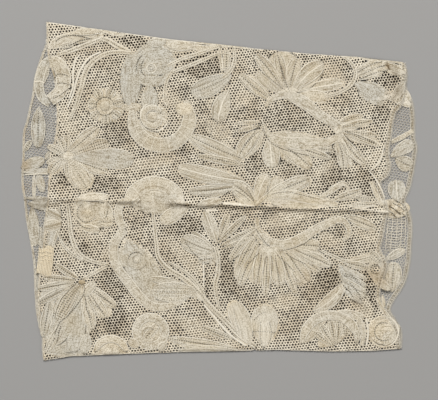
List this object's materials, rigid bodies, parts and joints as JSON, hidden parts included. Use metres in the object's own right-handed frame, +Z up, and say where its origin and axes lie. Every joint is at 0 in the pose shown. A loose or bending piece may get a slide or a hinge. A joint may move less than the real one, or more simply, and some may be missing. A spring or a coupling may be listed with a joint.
{
  "type": "lace cuff",
  "caption": "Short tube of floral bobbin lace, pressed flat, with a plain heading at one end and a scalloped edging at the other.",
  "frame": {"origin": "on the surface it lies on, under the middle of the flattened cuff", "axes": "+X towards the scalloped end, +Y towards the upper pressed fold, +Z up off the surface"},
  "size_m": [0.2049, 0.1756, 0.0048],
  "materials": {
    "net_cloth": "matte linen net",
    "clothwork": "matte close linen clothwork",
    "edging": "matte linen thread",
    "heading": "matte linen thread",
    "mend": "matte darning thread"
  },
  "bodies": {
    "root": {"arch_band": "clothwork", "back_edging": "edging", "back_heading": "heading", "back_panel": "net_cloth", "band_corner": "clothwork", "band_under_right": "clothwork", "calyx_band": "clothwork", "calyx_hook": "clothwork", "crest_band": "clothwork", "cup_band": "clothwork", "dome_bottom": "clothwork", "edge_mend": "mend", "eye_corner": "clothwork", "eye_large": "clothwork", "flower_centre": "clothwork", "flower_left": "clothwork", "flower_low_left": "clothwork", "flower_lower": "clothwork", "flower_upper": "clothwork", "front_edging": "edging", "front_heading": "heading", "front_panel": "net_cloth", "leaf_big_low": "clothwork", "leaf_grey_top": "clothwork", "leaf_lobed": "clothwork", "leaf_long_lower": "clothwork", "leaf_long_upper": "clothwork", "leaf_low_long": "clothwork", "leaf_midrib": "clothwork", "leaf_rib_low": "clothwork", "leaf_under_low": "clothwork", "leaf_veined": "clothwork", "petal_curl_left": "clothwork", "petal_dome_left": "clothwork", "petal_dome_right": "clothwork", "petal_low_mid": "clothwork", "petal_low_right": "clothwork", "petal_under_high": "clothwork", "petal_under_low": "clothwork", "petal_under_mid": "clothwork", "ring_bottom": "clothwork", "ring_corner": "clothwork", "rose_left": "clothwork", "rosette_fine": "clothwork", "rosette_low": "clothwork", "rosette_top": "clothwork", "scroll_centre": "clothwork", "scroll_corner": "clothwork", "scroll_large": "clothwork", "scroll_left_top": "clothwork", "scroll_low": "clothwork", "scroll_middle": "clothwork", "spray_right": "clothwork", "spray_stem_top": "clothwork", "spray_upper_right": "clothwork", "stem_diagonal": "clothwork", "stem_left": "clothwork", "stem_long": "clothwork", "stem_top_right": "clothwork", "stem_vertical": "clothwork"}
  },
  "joints": []
}
